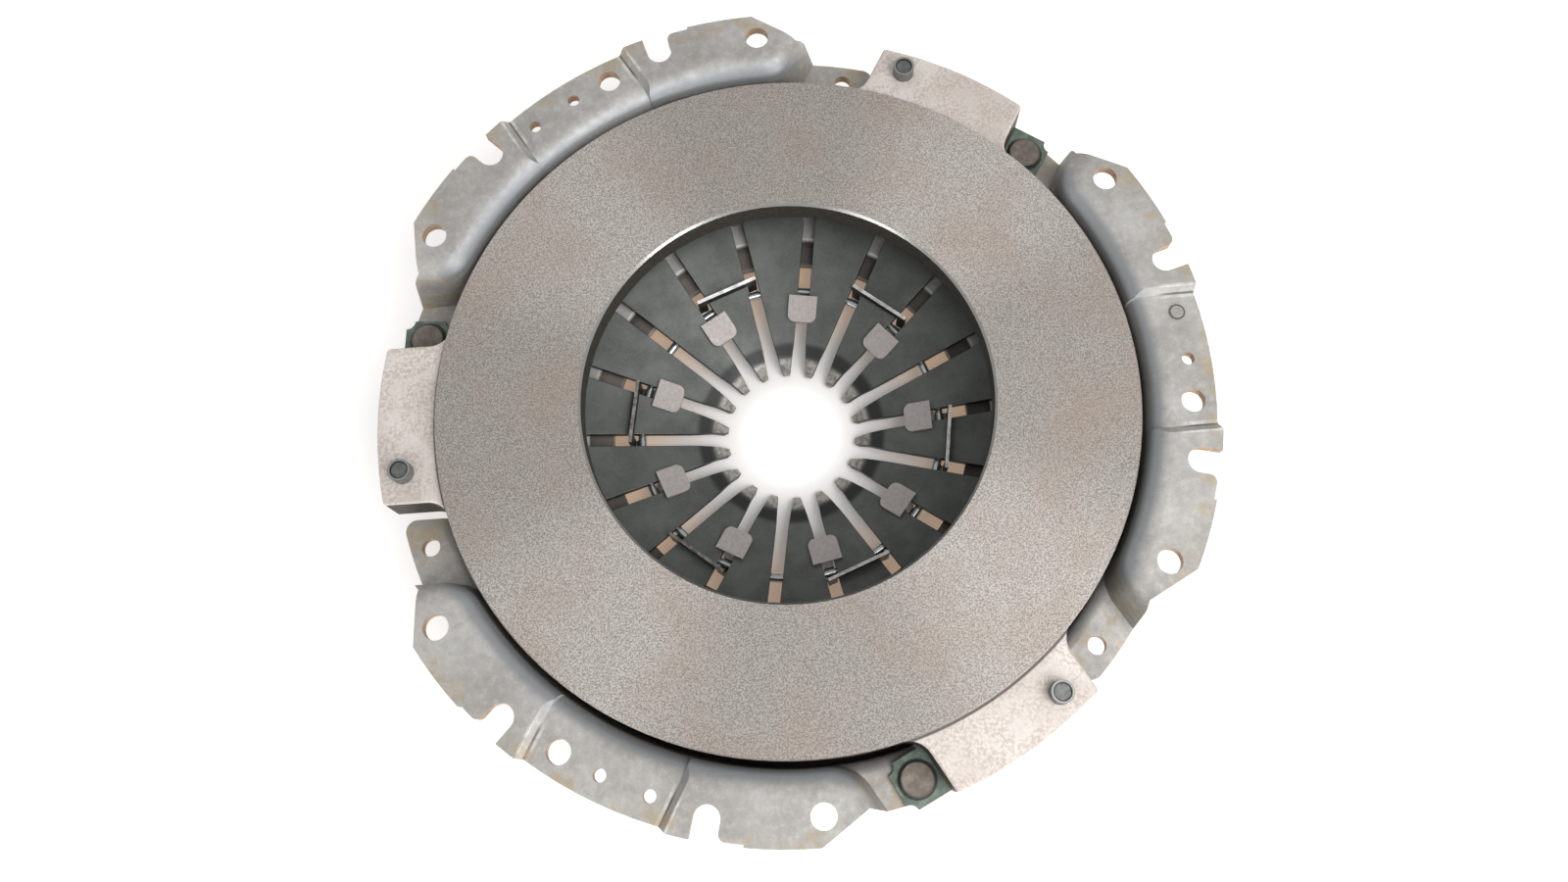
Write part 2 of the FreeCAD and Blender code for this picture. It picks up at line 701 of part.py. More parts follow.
def strap_leaf(sector, leaf):
    """One leaf of a strap pack, from a cover ear to a lug."""
    high = LUG_BACK_Z - leaf * STRAP_LEAF
    solid = turned(upright(strap_outline(), high - STRAP_LEAF, high), -STRAP_ANGLE)
    for along, radius in ((STRAP_RIVET_T, EAR_RIVET_R), (STRAP_PIN_T, LUG_PIN_R)):
        low = high - STRAP_LEAF - CUT_OVER
        solid = solid.cut(cylinder(radius + RIVET_FIT, low, high + CUT_OVER, strap_point(along)))
    return turned(solid, sector * STEP)


def strap_rivets():
    """Rivets that hold the straps to the cover's ears."""
    centre = strap_point(STRAP_RIVET_T)
    ear_back = EAR_Z - SHEET
    solid = joined([
        cylinder(EAR_RIVET_HEAD_R, LUG_BACK_Z, LUG_BACK_Z + EAR_RIVET_HEAD, centre),
        cylinder(EAR_RIVET_R, ear_back, LUG_BACK_Z, centre),
        cylinder(EAR_RIVET_TAIL_R, ear_back - EAR_RIVET_TAIL, ear_back, centre),
    ])
    rim = edges_near(solid, lambda m, e: abs(m.z - LUG_BACK_Z - EAR_RIVET_HEAD) < NEAR)
    solid = solid.makeFillet(EAR_RIVET_HEAD / 4, rim)
    return Part.makeCompound([turned(solid, index * STEP) for index in range(SECTORS)])


# Diaphragm spring and its pivot

def slot():
    """A slot between two fingers, about angle 0, with its round end hole."""
    half = SLOT_WIDTH / 2
    tip = SLOT_TIP_WIDTH / 2
    points = [
        FreeCAD.Vector(0, -tip, 0), FreeCAD.Vector(TIP_R, -tip, 0),
        FreeCAD.Vector(SLOT_FLARE_R, -half, 0), FreeCAD.Vector(SLOT_HOLE_R, -half, 0),
        FreeCAD.Vector(SLOT_HOLE_R, half, 0), FreeCAD.Vector(SLOT_FLARE_R, half, 0),
        FreeCAD.Vector(TIP_R, tip, 0), FreeCAD.Vector(0, tip, 0),
    ]
    long = upright(rounded_face(points), -FAR / 4, FAR / 8)
    hole = cylinder(SLOT_HOLE_RADIUS, -FAR / 4, FAR / 8, FreeCAD.Vector(SLOT_HOLE_R, 0, 0))
    return long.fuse(hole)


def diaphragm_spring():
    """The sprung disc with its fingers, bent down at their tips."""
    path = [
        pt(TIP_R, TIP_BEND_Z - TIP_DROP),
        pt(TIP_BEND_R, TIP_BEND_Z),
        pt(SPRING_R, spring_top(SPRING_R)),
    ]
    back = shifted_path(path, -SPRING_SHEET)
    front_edges = rounded_edges(path, [TIP_BEND_RADIUS + SPRING_SHEET])
    back_edges = rounded_edges(back, [TIP_BEND_RADIUS])
    ends = [
        Part.LineSegment(path[0], back[0]).toShape(),
        Part.LineSegment(path[-1], back[-1]).toShape(),
    ]
    disc = spun(face_of(front_edges + back_edges + ends))
    return disc.cut([turned(slot(), index * PITCH) for index in range(FINGERS)])


def wire_z():
    """Centre height of the wire ring in front of the spring."""
    reach = SPRING_SHEET / 2 + WIRE_RADIUS + PIVOT_GAP
    return spring_middle(PIVOT_R) + reach / math.cos(SPRING_ANGLE)


def pivot_wire():
    """The wire ring in front of the spring."""
    return Part.makeTorus(PIVOT_R, WIRE_RADIUS, FreeCAD.Vector(0, 0, wire_z()))


def support_ring():
    """The flat ring on the cover's floor, with the bead that the spring rocks on."""
    reach = SPRING_SHEET / 2 + BEAD_RADIUS + PIVOT_GAP
    centre = spring_middle(PIVOT_R) - reach / math.cos(SPRING_ANGLE)
    face_z = FLOOR_Z + SUPPORT_THICK
    left = pt(PIVOT_R - BEAD_RADIUS, centre)
    right = pt(PIVOT_R + BEAD_RADIUS, centre)
    corners = [
        right, pt(right.x, face_z), pt(SUPPORT_OUT_R, face_z), pt(SUPPORT_OUT_R, FLOOR_Z),
        pt(SUPPORT_IN_R, FLOOR_Z), pt(SUPPORT_IN_R, face_z - SUPPORT_CHAMFER),
        pt(SUPPORT_IN_R + SUPPORT_CHAMFER, face_z), pt(left.x, face_z), left,
    ]
    edges = [Part.LineSegment(a, b).toShape() for a, b in zip(corners, corners[1:])]
    edges.append(Part.Arc(left, pt(PIVOT_R, centre + BEAD_RADIUS), right).toShape())
    return spun(face_of(edges)).cut(pivot_holes())


def pivot_angles():
    """Angles of the pivot rivets: every other slot, between the ring's tabs."""
    turn = 360.0 / PIVOT_RIVETS
    return [(index + 0.5) * turn for index in range(PIVOT_RIVETS)]


def pivot_holes():
    """Holes for the pivot rivets, through the support ring and the cover."""
    centre = FreeCAD.Vector(SLOT_HOLE_R, 0, 0)
    hole = cylinder(PIVOT_RIVET_R + RIVET_FIT, COVER_BACK_Z - CUT_OVER, FLOOR_Z + FAR / 16, centre)
    return [turned(hole, angle) for angle in pivot_angles()]


def pivot_rivets():
    """Rivets from the cover's back through the slots, with heads over the wire ring."""
    centre = FreeCAD.Vector(SLOT_HOLE_R, 0, 0)
    head_z = wire_z() + WIRE_RADIUS
    solid = joined([
        cylinder(PIVOT_HEAD_R, head_z, head_z + PIVOT_HEAD, centre),
        cylinder(PIVOT_RIVET_R, COVER_BACK_Z, head_z, centre),
        cylinder(PIVOT_TAIL_R, COVER_BACK_Z - PIVOT_TAIL, COVER_BACK_Z, centre),
    ])
    return Part.makeCompound([turned(solid, angle) for angle in pivot_angles()])


# Ring behind the fingers, its tabs and its clips

def on_cone(radius, height):
    """A section point at a radius, at a height square to the spring's surface."""
    lift = height / math.cos(SPRING_ANGLE)
    return pt(radius, spring_top(radius) + lift)


def ring_front():
    """Height of the ring's front, square to the spring's surface."""
    return -SPRING_SHEET - RING_GAP


def ring_back():
    """Height of the ring's back, square to the spring's surface."""
    return ring_front() - RING_WIRE


def finger_ring():
    """The ring of round wire behind the fingers."""
    middle = on_cone(RING_R, (ring_front() + ring_back()) / 2)
    return Part.makeTorus(RING_R, RING_WIRE / 2, FreeCAD.Vector(0, 0, middle.z))


def ring_tab(index):
    """A hook with a square head on the fingers and its foot under the ring."""
    low = RING_GAP
    high = low + TAB_THICK
    half = TAB_WIDTH / 2
    head_plan = rounded_face([
        FreeCAD.Vector(TAB_OUT_R, -half, 0), FreeCAD.Vector(TAB_OUT_R, half, 0),
        FreeCAD.Vector(TAB_IN_R, half, 0), FreeCAD.Vector(TAB_IN_R, -half, 0),
    ], [0, TAB_CORNER, TAB_CORNER])
    slab = spun(rounded_face([
        on_cone(TAB_IN_R - TAB_CORNER, low), on_cone(TAB_OUT_R + TAB_CORNER, low),
        on_cone(TAB_OUT_R + TAB_CORNER, high), on_cone(TAB_IN_R - TAB_CORNER, high),
    ]))
    head = slab.common(upright(head_plan, -FAR / 4, FAR / 8))
    foot_top = ring_back() - RING_GAP / 2
    foot_low = foot_top - TAB_THICK
    inside = RING_IN_R - RING_GAP
    rooted = high - TAB_THICK / 4
    neck = rounded_face([
        on_cone(TAB_NECK_IN_R, rooted), on_cone(TAB_OUT_R, rooted),
        on_cone(inside, -SPRING_SHEET), on_cone(inside, foot_top),
        on_cone(RING_R, foot_top), on_cone(RING_R, foot_low),
        on_cone(TAB_NECK_IN_R + 3 * TAB_NECK_LEAN, foot_low),
        on_cone(TAB_NECK_IN_R + TAB_NECK_LEAN, -SPRING_SHEET),
        on_cone(TAB_NECK_IN_R, -SPRING_SHEET / 2),
    ])
    neck.translate(FreeCAD.Vector(0, -TAB_NECK_WIDTH / 2, 0))
    solid = joined([head, neck.extrude(FreeCAD.Vector(0, TAB_NECK_WIDTH, 0))])
    return turned(solid, index * 360.0 / TABS)


def ring_clip(index):
    """A thin strip on edge over one finger, hooked under the ring at both ends."""
    near = RING_OUT_R + RING_GAP / 2
    far = near + CLIP_STRIP
    leg = CLIP_LEG_WIDTH / 2
    slot_y = (near + far) / 2 * math.tan(math.radians(PITCH / 2))
    toe = RING_R + RING_GAP
    span = slot_y + leg
    top = RING_GAP + CLIP_HEIGHT
    foot_top = ring_back() - RING_GAP / 2
    foot_low = foot_top - CLIP_HOOK
    bridge = prism(on_cone(near, RING_GAP), far - near, CLIP_HEIGHT, -span, span)
    pieces = [bridge]
    for side in (-1, 1):
        middle = side * slot_y
        pieces.append(prism(on_cone(near, foot_low), far - near, top - foot_low,
                            middle - leg, middle + leg))
        pieces.append(prism(on_cone(toe, foot_low), far - toe, CLIP_HOOK,
                            middle - leg, middle + leg))
    return turned(joined(pieces), CLIP_FIRST_ANGLE + index * 360.0 / CLIPS)


def prism(corner, length, height, left, right):
    """A bar across the radius, its section leaning with the spring's cone."""
    rise = length * SPRING_SLOPE
    lift = height / math.cos(SPRING_ANGLE)
    face = rounded_face([
        corner, corner + pt(length, rise),
        corner + pt(length, rise + lift), corner + pt(0, lift),
    ])
    face.translate(FreeCAD.Vector(0, left, 0))
    return face.extrude(FreeCAD.Vector(0, right - left, 0))


def pieces():
    """Every node by name."""
    nodes = {
        "cover": cover(),
        "balance_rivet": balance_rivet(),
        "support_ring": support_ring(),
        "pivot_wire": pivot_wire(),
        "pivot_rivets": pivot_rivets(),
        "diaphragm_spring": diaphragm_spring(),
        "strap_rivets": strap_rivets(),
        "pressure_plate": pressure_plate(),
        "lug_rivets": lug_rivets(),
        "finger_ring": finger_ring(),
    }
    for sector in range(SECTORS):
        for leaf in range(STRAP_LEAVES):
            nodes[f"strap_{sector + 1}_leaf_{leaf + 1}"] = strap_leaf(sector, leaf)
    for index in range(TABS):
        nodes[f"ring_tab_{index + 1}"] = ring_tab(index)
    for index in range(CLIPS):
        nodes[f"ring_clip_{index + 1}"] = ring_clip(index)
    return nodes


os.makedirs("parts", exist_ok=True)
for name, shape in pieces().items():
    assert shape.isValid(), name
    shape.exportStep(os.path.join("parts", name + ".step"))
    size = shape.BoundBox
    print(f"{name:20s} solids {len(shape.Solids):2d}  volume {shape.Volume:10.1f}  "
          f"z {size.ZMin:7.2f} to {size.ZMax:7.2f}")
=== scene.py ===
# %% [markdown]
# A clutch cover assembly, lying on its back with the friction face up. The pressed steel
# cover carries a ground iron pressure plate on thin straps, and a diaphragm spring shows
# through the plate's bore. The shapes of the rigid parts come from the frame, so this
# lesson is about finishes: what each metal is, how its surface was made, and what use has
# done to it. The parts that flex in use are modelled here as grids of short lengths.

# %% Load the frame
import json
import math

import bmesh
import bpy
from mathutils import Matrix, Vector


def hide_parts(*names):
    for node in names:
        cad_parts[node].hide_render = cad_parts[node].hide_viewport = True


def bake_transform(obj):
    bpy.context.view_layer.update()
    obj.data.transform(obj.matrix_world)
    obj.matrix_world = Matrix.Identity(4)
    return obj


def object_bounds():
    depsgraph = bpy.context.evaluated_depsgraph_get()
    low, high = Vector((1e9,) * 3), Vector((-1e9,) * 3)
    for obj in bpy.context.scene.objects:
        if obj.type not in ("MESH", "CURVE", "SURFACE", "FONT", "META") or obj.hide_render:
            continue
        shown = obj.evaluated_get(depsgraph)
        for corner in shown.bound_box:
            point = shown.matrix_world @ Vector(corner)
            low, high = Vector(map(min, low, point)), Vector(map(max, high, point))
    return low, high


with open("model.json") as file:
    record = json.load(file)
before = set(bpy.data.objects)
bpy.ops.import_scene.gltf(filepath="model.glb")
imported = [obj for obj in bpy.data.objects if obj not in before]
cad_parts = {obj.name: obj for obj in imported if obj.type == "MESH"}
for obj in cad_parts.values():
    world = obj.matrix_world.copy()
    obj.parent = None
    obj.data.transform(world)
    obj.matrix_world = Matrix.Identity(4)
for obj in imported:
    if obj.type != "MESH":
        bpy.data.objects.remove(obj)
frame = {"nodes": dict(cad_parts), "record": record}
CAD_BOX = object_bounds()
NODES = frame["nodes"]

# %% [markdown]
# Colours are written as the hex values that a picture editor shows, which are sRGB. A
# shader works on linear light, so one function turns a hex value into linear. Sizes are
# written in millimetres, as on a drawing, and turned to metres once.

# %% Colours and sizes
MM = 0.001


def colour(hex_value):
    """A linear colour with alpha from an sRGB hex value."""
    channels = [int(hex_value[i:i + 2], 16) / 255 for i in (1, 3, 5)]
    linear = [c / 12.92 if c <= 0.04045 else ((c + 0.055) / 1.055) ** 2.4 for c in channels]
    return (*linear, 1.0)


def per_mm(size):
    """Noise scale whose grain is a size in millimetres, for coordinates in metres."""
    return 1.0 / (size * MM)


def polar(radius, angle, z=0.0):
    """A point in metres from a radius and height in millimetres and an angle in degrees."""
    turn = math.radians(angle)
    return Vector((radius * math.cos(turn), radius * math.sin(turn), z)) * MM


print("mid grey", [round(c, 3) for c in colour("#808080")])

# %% [markdown]
# A material is a small graph. Every node here is added by one function, which takes the
# node's kind, what goes into its sockets and its settings. A socket gets either a plain
# value or another node's output. Masks are worked out from the place on the object, so
# that they stay put when the object moves: the Object coordinate of Texture Coordinate.

# %% One function that adds a node
def add(tree, kind, inputs=None, **settings):
    """Adds a shader node, fills its input sockets and sets its settings."""
    made = tree.nodes.new("ShaderNode" + kind)
    for name, value in settings.items():
        setattr(made, name, value)
    for name, value in (inputs or {}).items():
        if isinstance(value, bpy.types.NodeSocket):
            tree.links.new(value, made.inputs[name])
        else:
            made.inputs[name].default_value = value
    return made


def start_material(name, **shader_values):
    """A new material with a Principled shader; returns it, its tree and its shader."""
    material = bpy.data.materials.new(name)
    material.use_nodes = True
    tree = material.node_tree
    shader = tree.nodes["Principled BSDF"]
    for socket, value in shader_values.items():
        shader.inputs[socket.replace("_", " ")].default_value = value
    return material, tree, shader


# %% [markdown]
# Three patterns come back in every finish: a noise of a real grain size, a mask that
# passes one stretch of values, and a mix of two colours by a mask. They are built from the
# same function, so each finish below reads as a recipe. The cover repeats three times
# around its axis, so a mark at a bolt sector or a lug is placed once, in the coordinates of
# the nearest third, and shows in all three.

# %% Patterns from the object's own coordinates
SECTORS = 3
RELIEF_STRENGTH = 0.5


def place(tree):
    """Object coordinates, distance from the axis, height, angle, and how far a face looks up."""
    where = add(tree, "TexCoord")
    parts = add(tree, "SeparateXYZ", {0: where.outputs["Object"]})
    flat = add(tree, "CombineXYZ", {0: parts.outputs[0], 1: parts.outputs[1]})
    radius = add(tree, "VectorMath", {0: flat.outputs[0]}, operation="LENGTH")
    facing = add(tree, "SeparateXYZ", {0: where.outputs["Normal"]})
    angle = add(tree, "Math", {0: parts.outputs[1], 1: parts.outputs[0]}, operation="ARCTAN2")
    return {
        "object": where.outputs["Object"],
        "radius": radius.outputs["Value"],
        "height": parts.outputs[2],
        "angle": angle.outputs[0],
        "up": facing.outputs[2],
    }


def grain(tree, spot, size, detail=3.0, rough=0.55):
    """Noise around 0.5 with a grain of a size in millimetres."""
    made = add(tree, "TexNoise", {
        "Vector": spot["object"], "Scale": per_mm(size), "Detail": detail, "Roughness": rough})
    return made.outputs["Fac"]


def ramp(tree, value, low, high, to_low=0.0, to_high=1.0):
    """Maps a stretch of values smoothly to another, and holds it outside."""
    made = add(tree, "MapRange", {
        "Value": value, "From Min": low, "From Max": high, "To Min": to_low, "To Max": to_high},
        interpolation_type="SMOOTHSTEP")
    return made.outputs["Result"]


def times(tree, first, second, operation="MULTIPLY"):
    """Two values put together by an operation."""
    return add(tree, "Math", {0: first, 1: second}, operation=operation).outputs[0]


def blend(tree, mask, first, second):
    """A colour that goes from the first to the second with the mask."""
    return add(tree, "Mix", {0: mask, 6: first, 7: second}, data_type="RGBA").outputs[2]


def sector_place(tree, spot, middle):
    """Distances outward and sideways from the middle line, in degrees, of the nearest third."""
    half = math.pi / SECTORS
    turned = times(tree, spot["angle"], -math.radians(middle), "ADD")
    folded = add(tree, "Math", {0: turned, 1: half, 2: -half}, operation="WRAP").outputs[0]
    outward = times(tree, spot["radius"], times(tree, folded, 0.0, "COSINE"))
    sideways = times(tree, spot["radius"], times(tree, folded, 0.0, "SINE"))
    return outward, sideways


def distance_to(tree, place_now, outward, sideways):
    """Distance in metres from a point given in millimetres outward and sideways."""
    across = times(tree, times(tree, place_now[0], outward * MM, "SUBTRACT"), 2.0, "POWER")
    along = times(tree, times(tree, place_now[1], sideways * MM, "SUBTRACT"), 2.0, "POWER")
    return times(tree, times(tree, across, along, "ADD"), 0.5, "POWER")


def line(tree, value, middle, width):
    """A soft stripe of a width in millimetres, where a value in metres passes a middle."""
    away = times(tree, times(tree, value, middle * MM, "SUBTRACT"), 0.0, "ABSOLUTE")
    return ramp(tree, away, width * MM / 2, width * MM / 6)


def relief(tree, height, depth, shader):
    """Bump of a depth in millimetres, on the shader's normal."""
    made = add(tree, "Bump", {
        "Height": height, "Distance": depth * MM, "Strength": RELIEF_STRENGTH})
    tree.links.new(made.outputs[0], shader.inputs["Normal"])


# %% [markdown]
# The cover is low-carbon steel, cold pressed from 4 mm sheet and phosphated, which leaves
# a dry warm grey skin of fine crystals. The bend beside the plate is smoother, and its
# blue-grey colour is a painted sheen. Two creases bound the lowered middle of each flange
# sector: a painted shade darkens the hollow, with a line worn bright beside it. Where holes
# and edges were punched, the bare cut has gone tan with rust. A cut face is one that stands
# upright outside the pan, so a mask of the normal and the radius finds it. The up-facing
# floor of the pan is painted dark brown as shade.

# %% Phosphated pressed steel
COVER_SHEET = 4.0
BEND_RADIUS = 128.0
BEND_DEPTH = 9.0
CUT_RADIUS = 128.0
PAN_HEIGHT = -38.0
CREASE_SIDES = (23.6, 26.2)
CREASE_START = 130.0
RIM_START = 137.0


def phosphated_pressed_steel():
    material, tree, shader = start_material("phosphated_pressed_steel", Metallic=0.35)
    spot = place(tree)
    cloud = grain(tree, spot, 30.0, 4.0)
    mottle = grain(tree, spot, 3.0, 5.0, 0.7)
    crystal = grain(tree, spot, 0.5, 2.0)
    smear = grain(tree, spot, 9.0, 6.0, 0.7)
    base = blend(tree, ramp(tree, cloud, 0.35, 0.68), colour("#a8a5a1"), colour("#c2c0bc"))
    base = blend(tree, ramp(tree, smear, 0.5, 0.3, 0.0, 0.4), base, colour("#96918c"))
    base = blend(tree, ramp(tree, mottle, 0.45, 0.75, 0.0, 0.4), base, colour("#dedbd6"))
    base = blend(tree, ramp(tree, mottle, 0.5, 0.25, 0.0, 0.35), base, colour("#94908b"))

    # painted sheen: the sloping bend beside the plate gets a blue-grey colour and less roughness
    sloping = times(tree, ramp(tree, spot["up"], 1.0, 0.8), ramp(tree, spot["up"], 0.1, 0.3))
    inside = ramp(tree, spot["radius"], (BEND_RADIUS + 4) * MM, (BEND_RADIUS - 2) * MM)
    shallow = ramp(tree, spot["height"], -BEND_DEPTH * MM, -COVER_SHEET * MM)
    bend = times(tree, times(tree, sloping, inside), shallow)
    base = blend(tree, times(tree, bend, 0.8), base, colour("#979ca0"))

    outward, sideways = sector_place(tree, spot, 0.0)
    aside = times(tree, sideways, 0.0, "ABSOLUTE")
    past_bend = ramp(tree, outward, (CREASE_START - 2) * MM, (CREASE_START + 5) * MM)
    on_flange = times(tree, past_bend,
                      ramp(tree, spot["height"], -COVER_SHEET * MM, (0.4 - COVER_SHEET) * MM))
    low_side, high_side = CREASE_SIDES
    worn = times(tree, line(tree, aside, high_side, 1.4),
                 line(tree, aside, low_side - 0.8, 1.5), "MAXIMUM")
    worn = times(tree, times(tree, worn, on_flange), ramp(tree, mottle, 0.3, 0.6, 0.1, 0.7))
    base = blend(tree, worn, base, colour("#edebe8"))
    border = times(tree, line(tree, spot["radius"], CREASE_START + 1, 1.6),
                   ramp(tree, aside, high_side * MM, (high_side + 2) * MM))
    border = times(tree, times(tree, border, on_flange), ramp(tree, mottle, 0.35, 0.6, 0.0, 0.6))
    base = blend(tree, border, base, colour("#e6e4e1"))
    # painted shade: a dark line in the hollow of each crease
    crease_shade = times(tree, line(tree, aside, low_side + 0.2, 0.9), on_flange)
    base = blend(tree, times(tree, crease_shade, 0.75), base, colour("#3f3c39"))

    upright = ramp(tree, times(tree, spot["up"], 0.0, "ABSOLUTE"), 0.12, 0.05)
    cut = times(tree, upright, ramp(tree, spot["radius"], CUT_RADIUS * MM, (CUT_RADIUS + 0.4) * MM))
    rust = blend(tree, ramp(tree, mottle, 0.35, 0.65), colour("#ac8361"), colour("#c8aa8c"))
    base = blend(tree, times(tree, cut, 0.85), base, rust)

    rim = ramp(tree, spot["radius"], RIM_START * MM, (RIM_START + 7) * MM)
    ends = times(tree, ramp(tree, spot["height"], -2.5 * MM, -6.0 * MM),
                 ramp(tree, spot["radius"], (CUT_RADIUS - 4) * MM, CUT_RADIUS * MM))
    stain = times(tree, times(tree, rim, ends, "MAXIMUM"), ramp(tree, smear, 0.45, 0.62, 0.0, 0.62))
    base = blend(tree, stain, base, colour("#b5a07c"))

    # painted shade: up-facing faces low in the pan are painted dark brown
    pan_shade_mask = times(tree, ramp(tree, spot["height"], (PAN_HEIGHT + 4) * MM, PAN_HEIGHT * MM),
                 ramp(tree, spot["up"], 0.0, 0.3))
    pan_shade = blend(tree, ramp(tree, cloud, 0.35, 0.65), colour("#4a4540"), colour("#68615a"))
    base = blend(tree, pan_shade_mask, base, pan_shade)
    base = blend(tree, ramp(tree, crystal, 0.3, 0.7, 0.0, 0.14), base, colour("#6c6965"))
    tree.links.new(base, shader.inputs["Base Color"])
    tree.links.new(times(tree, ramp(tree, mottle, 0.3, 0.7, 0.58, 0.46),
                         times(tree, bend, -0.06), "ADD"), shader.inputs["Roughness"])
    tree.links.new(ramp(tree, bend, 0.0, 1.0, 0.35, 0.45), shader.inputs["Metallic"])
    relief(tree, crystal, 0.02, shader)
    return material


COVER_STEEL = phosphated_pressed_steel()
print("made", COVER_STEEL.name)

# %% [markdown]
# The pressure plate is grey cast iron. Its friction face was turned and then blasted with
# fine grit, so it is an even warm grey with a speckle finer than half a millimetre and no
# direction, over faint tan clouds; four paler quarters are painted on it as a sheen of the
# lamps. The lugs beside it were only milled: they are paler, with a fine pinkish fleck,
# and the dark line on them beside the face is partly a groove and partly painted shadow.
# The bore's turned wall and every other upright face are painted dark brown-grey as shade.

# %% Blasted grey iron
FACE_RADIUS = 120.0
BORE_RADIUS = 70.5


def blasted_grey_iron():
    material, tree, shader = start_material("blasted_grey_iron", Metallic=0.3)
    spot = place(tree)
    grit = grain(tree, spot, 0.5, 1.0, 0.5)
    patch = grain(tree, spot, 34.0, 4.0)
    fleck = grain(tree, spot, 1.1, 4.0, 0.7)
    # painted sheen: four paler quarters around the axis, where lamps would reflect
    painted_fan_sheen = times(tree, times(tree, spot["angle"], 4.0), 0.0, "COSINE")
    painted_fan_sheen = ramp(tree, painted_fan_sheen, 0.6, -1.0)
    face = blend(tree, ramp(tree, grit, 0.3, 0.7),
                 blend(tree, painted_fan_sheen, colour("#7f7974"), colour("#8e8883")),
                 blend(tree, painted_fan_sheen, colour("#b3ada7"), colour("#ccc6c0")))
    face = blend(tree, ramp(tree, patch, 0.42, 0.7, 0.0, 0.28), face, colour("#a08672"))
    lug = blend(tree, ramp(tree, patch, 0.35, 0.65), colour("#d0c8c1"), colour("#e6e0da"))
    island = times(tree, ramp(tree, grain(tree, spot, 8.0, 3.0), 0.36, 0.56, 0.3, 1.0),
                   ramp(tree, fleck, 0.42, 0.58))
    lug = blend(tree, times(tree, island, 0.55), lug, colour("#b29b8e"))
    # a dark line on the lug along the face's edge: partly a groove, partly painted shadow of the
    # step
    groove_and_shadow = line(tree, spot["radius"], FACE_RADIUS + 0.5, 1.5)
    lug = blend(tree, times(tree, groove_and_shadow, 0.85), lug, colour("#4a423c"))
    outside = ramp(tree, spot["radius"], FACE_RADIUS * MM, (FACE_RADIUS + 0.1) * MM)
    base = blend(tree, outside, face, lug)

    # painted shade: every face that stands upright, the bore wall too, is painted dark brown-grey
    side_shade = blend(tree, ramp(tree, fleck, 0.35, 0.65), colour("#2c2a25"), colour("#47423a"))
    side = ramp(tree, spot["up"], 0.4, 0.2)
    base = blend(tree, side, base, side_shade)
    chamfer = times(tree, ramp(tree, spot["up"], 0.9, 0.82), ramp(tree, spot["up"], 0.45, 0.55))
    near_bore = ramp(tree, spot["radius"], (BORE_RADIUS + 3) * MM, (BORE_RADIUS + 2) * MM)
    chamfer = times(tree, chamfer, near_bore)
    base = blend(tree, chamfer, base, colour("#b4b4b0"))
    tree.links.new(base, shader.inputs["Base Color"])
    tree.links.new(ramp(tree, chamfer, 0.0, 1.0, 0.55, 0.25), shader.inputs["Roughness"])
    tree.links.new(ramp(tree, chamfer, 0.0, 1.0, 0.3, 0.9), shader.inputs["Metallic"])
    relief(tree, grit, 0.02, shader)
    return material


PLATE_IRON = blasted_grey_iron()
print("made", PLATE_IRON.name)

# %% [markdown]
# The diaphragm spring is a tempered steel disc. Oil hardening leaves it dark green-grey,
# with a faint satin sheen and cloudy stains. The release bearing has rubbed the bent tips
# of the fingers, which are paler, and a dark ring lies just outside the rubbed part.

# %% Oil-hardened spring steel
TIP_RADIUS = 23.8
TIP_BEND_RADIUS = 28.3
RUBBED_RADIUS = 28.0
BAND_INNER = 31.0
BAND_OUTER = 33.5
BAND_FADE = 2.5


def oil_hardened_spring_steel():
    material, tree, shader = start_material("oil_hardened_spring_steel", Metallic=0.3)
    spot = place(tree)
    cloud = grain(tree, spot, 14.0, 5.0, 0.65)
    fine = grain(tree, spot, 0.8, 3.0)
    base = blend(tree, ramp(tree, cloud, 0.35, 0.7), colour("#4d504d"), colour("#5f625f"))
    base = blend(tree, ramp(tree, fine, 0.35, 0.75, 0.0, 0.2), base, colour("#737571"))
    band = times(tree,
                 ramp(tree, spot["radius"], (BAND_OUTER + BAND_FADE) * MM, BAND_OUTER * MM),
                 ramp(tree, spot["radius"], (BAND_INNER - BAND_FADE) * MM, BAND_INNER * MM))
    base = blend(tree, times(tree, band, 0.9), base, colour("#1f201f"))
    worn_and_lit = times(tree, ramp(tree, spot["radius"], (RUBBED_RADIUS + 2) * MM, RUBBED_RADIUS * MM),
                   ramp(tree, grain(tree, spot, 1.8, 4.0), 0.35, 0.6, 0.35, 1.0))
    base = blend(tree, worn_and_lit, base, colour("#b9b4ad"))
    # painted shade: faces that don't look up, the slot walls and edges, are painted nearly black
    base = blend(tree, ramp(tree, spot["up"], 0.55, 0.35), base, colour("#1b1c1b"))
    tree.links.new(base, shader.inputs["Base Color"])
    tree.links.new(ramp(tree, cloud, 0.3, 0.7, 0.46, 0.34), shader.inputs["Roughness"])
    relief(tree, fine, 0.015, shader)
    return material


SPRING_STEEL = oil_hardened_spring_steel()
print("made", SPRING_STEEL.name)

# %% [markdown]
# The other metals are simpler: one colour that a cloud of a few millimetres darkens or
# lightens, with a fine tooth. One function makes them. Straps are blued spring strip with
# a green cast, rivets are cold headed steel with a brown-grey skin, the hooks are zinc
# plated, and the ring is polished round wire.

